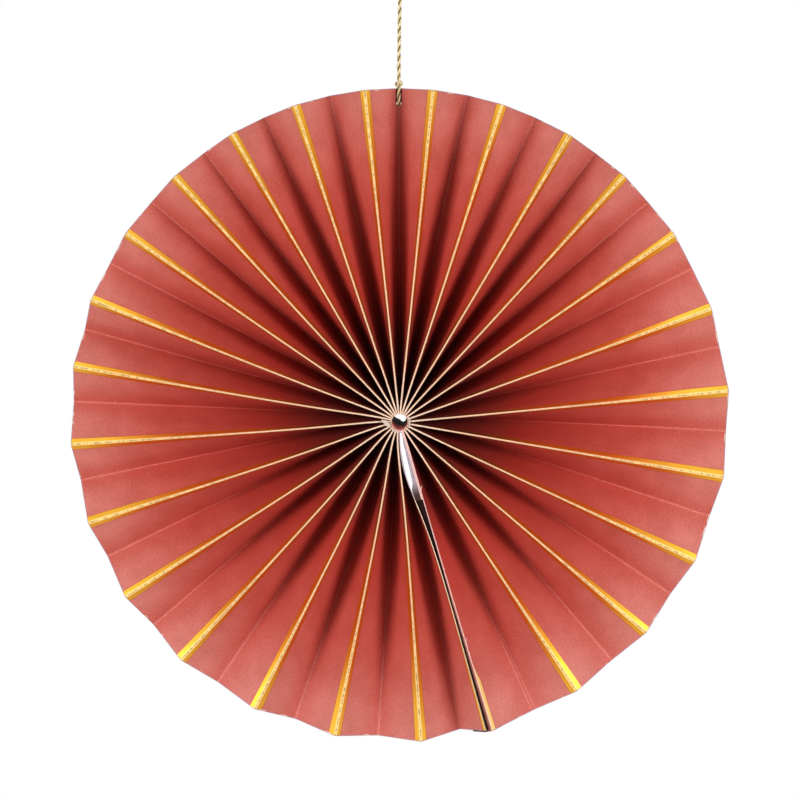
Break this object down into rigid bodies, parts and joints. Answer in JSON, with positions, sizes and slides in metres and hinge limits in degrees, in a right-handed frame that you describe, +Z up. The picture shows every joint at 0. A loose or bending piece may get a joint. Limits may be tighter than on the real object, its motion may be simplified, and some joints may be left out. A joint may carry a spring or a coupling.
{
  "type": "paper fan medallion",
  "caption": "Round pleated paper fan with foil stripes on its ridges, drawn together at the hub and hung by a thin twisted cord with a loop.",
  "frame": {"origin": "the middle of the fan: the centre of the hub's hole, half-way between the ridges and the valleys", "axes": "+Z up along the hanging cord, +Y towards the plain reverse, so the printed face looks towards -Y"},
  "size_m": [0.2997, 0.026, 0.3692],
  "materials": {
    "card": "matt coral red print with gold foil stripes along the ridges on the front, plain off-white on the reverse",
    "tape": "thin pinkish paper tape",
    "thread": "cream sewing thread",
    "cord": "two-ply twisted metallic beige gold yarn"
  },
  "bodies": {
    "root": {"pleated_paper": "card", "seam_tape": "tape", "hub_thread": "thread", "tie_loop": "cord", "tie_knot": "cord", "hanging_cord": "cord", "top_knot": "cord", "hanging_loop": "cord"}
  },
  "joints": []
}
